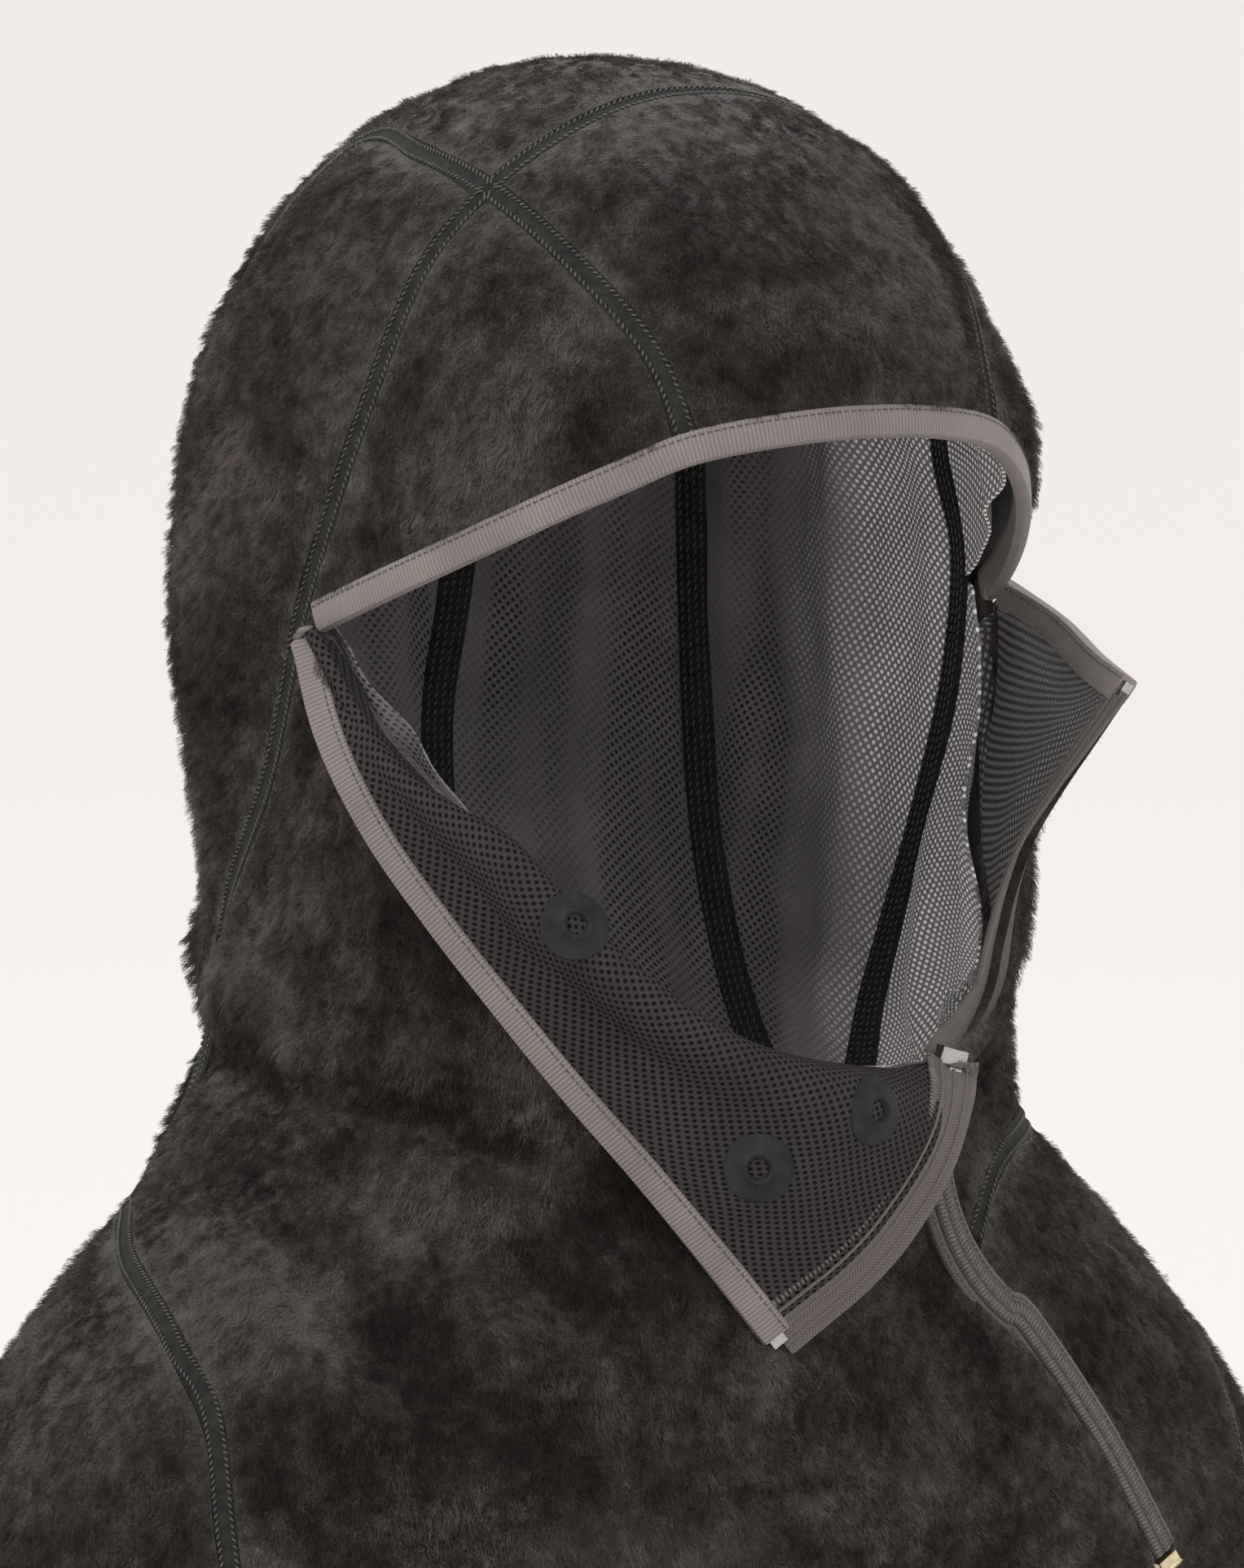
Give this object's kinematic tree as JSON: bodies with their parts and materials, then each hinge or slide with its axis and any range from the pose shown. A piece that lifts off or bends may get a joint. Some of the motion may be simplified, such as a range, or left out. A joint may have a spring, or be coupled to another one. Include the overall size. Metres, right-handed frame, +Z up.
{
  "type": "balaclava",
  "caption": "Full-face fleece balaclava hood with shoulder yoke, mesh lining, elastic-bound eye opening and an off-centre zip that splits the face cover into two flaps",
  "frame": {"origin": "middle of the wearer's head, level with the ears", "axes": "-Y is the way the wearer faces, +Z is up, +X is the wearer's left"},
  "size_m": [0.4, 0.2407, 0.429],
  "materials": {
    "fleece": "high-pile dark brown-grey fleece",
    "lining": "dark grey warp-knit mesh",
    "seam": "coverstitched flat seam tape",
    "binding": "ribbed fold-over elastic",
    "zip_tape": "herringbone woven zip tape",
    "zip_coil": "moulded nylon coil",
    "metal": "bright nickel-plated zip metal",
    "patch": "bonded film patch"
  },
  "bodies": {
    "hood": {"back_seam_left": "seam", "back_seam_right": "seam", "back_yoke_panel": "fleece", "brow_binding": "binding", "brow_lining": "lining", "cheek_lining_left": "lining", "cheek_panel_left": "fleece", "chest_panel_left": "fleece", "chest_seam": "seam", "collar_lining_right": "lining", "crown_back_lining": "lining", "crown_back_panel": "fleece", "crown_seam": "seam", "ear_lining_left": "lining", "ear_lining_right": "lining", "ear_panel_left": "fleece", "ear_panel_right": "fleece", "forehead_panel": "fleece", "front_panel_right": "fleece", "front_seam_left": "seam", "front_seam_right": "seam", "hem_band": "seam", "nape_seam": "seam", "neck_join_seam": "seam", "neck_side_seam_left": "seam", "neck_side_seam_right": "seam", "raglan_seam_left": "seam", "raglan_seam_right": "seam", "side_back_lining_left": "lining", "side_back_lining_right": "lining", "side_back_panel_left": "fleece", "side_back_panel_right": "fleece", "side_front_panel_left": "fleece", "side_front_panel_right": "fleece", "side_seam_left": "seam", "side_seam_right": "seam", "sleeve_cap_left": "fleece", "sleeve_cap_right": "fleece", "zip_bottom_stop": "metal", "zip_chain": "zip_coil", "zip_tape_left": "zip_tape", "zip_tape_right": "zip_tape"},
    "right_flap": {"flap_binding_right": "binding", "flap_fleece_right": "fleece", "flap_lining_right": "lining", "flap_top_stop_right": "metal", "flap_zip_tape_right": "zip_tape", "eyelet_patch_1": "patch", "eyelet_patch_2": "patch", "eyelet_patch_3": "patch"},
    "left_flap": {"flap_binding_left": "binding", "flap_fleece_left": "fleece", "flap_lining_left": "lining", "flap_top_stop_left": "metal", "flap_zip_tape_left": "zip_tape"},
    "zip_slider": {"slider_body": "metal"},
    "zip_pull": {"slider_pull": "metal"}
  },
  "joints": [
    {"name": "right_flap_fold", "type": "hinge", "parent": "hood", "child": "right_flap", "pos_m": [-0.097, -0.017, -0.006], "axis": [0.6879, -0.4253, -0.5881], "range_deg": [-120, 0]},
    {"name": "left_flap_fold", "type": "hinge", "parent": "hood", "child": "left_flap", "pos_m": [0.094, -0.038, -0.006], "axis": [-0.427, -0.427, -0.7971], "range_deg": [0, 60]},
    {"name": "slider_travel", "type": "hinge", "parent": "hood", "child": "zip_slider", "pos_m": [0.09, -0.0986, -0.135], "axis": [0, -1, 0], "range_deg": [0, 60]},
    {"name": "pull_swing", "type": "hinge", "parent": "zip_slider", "child": "zip_pull", "pos_m": [0.03394, -0.1036, -0.11828], "axis": [-0.9563, 0, 0.2924], "range_deg": [0, 90]}
  ]
}
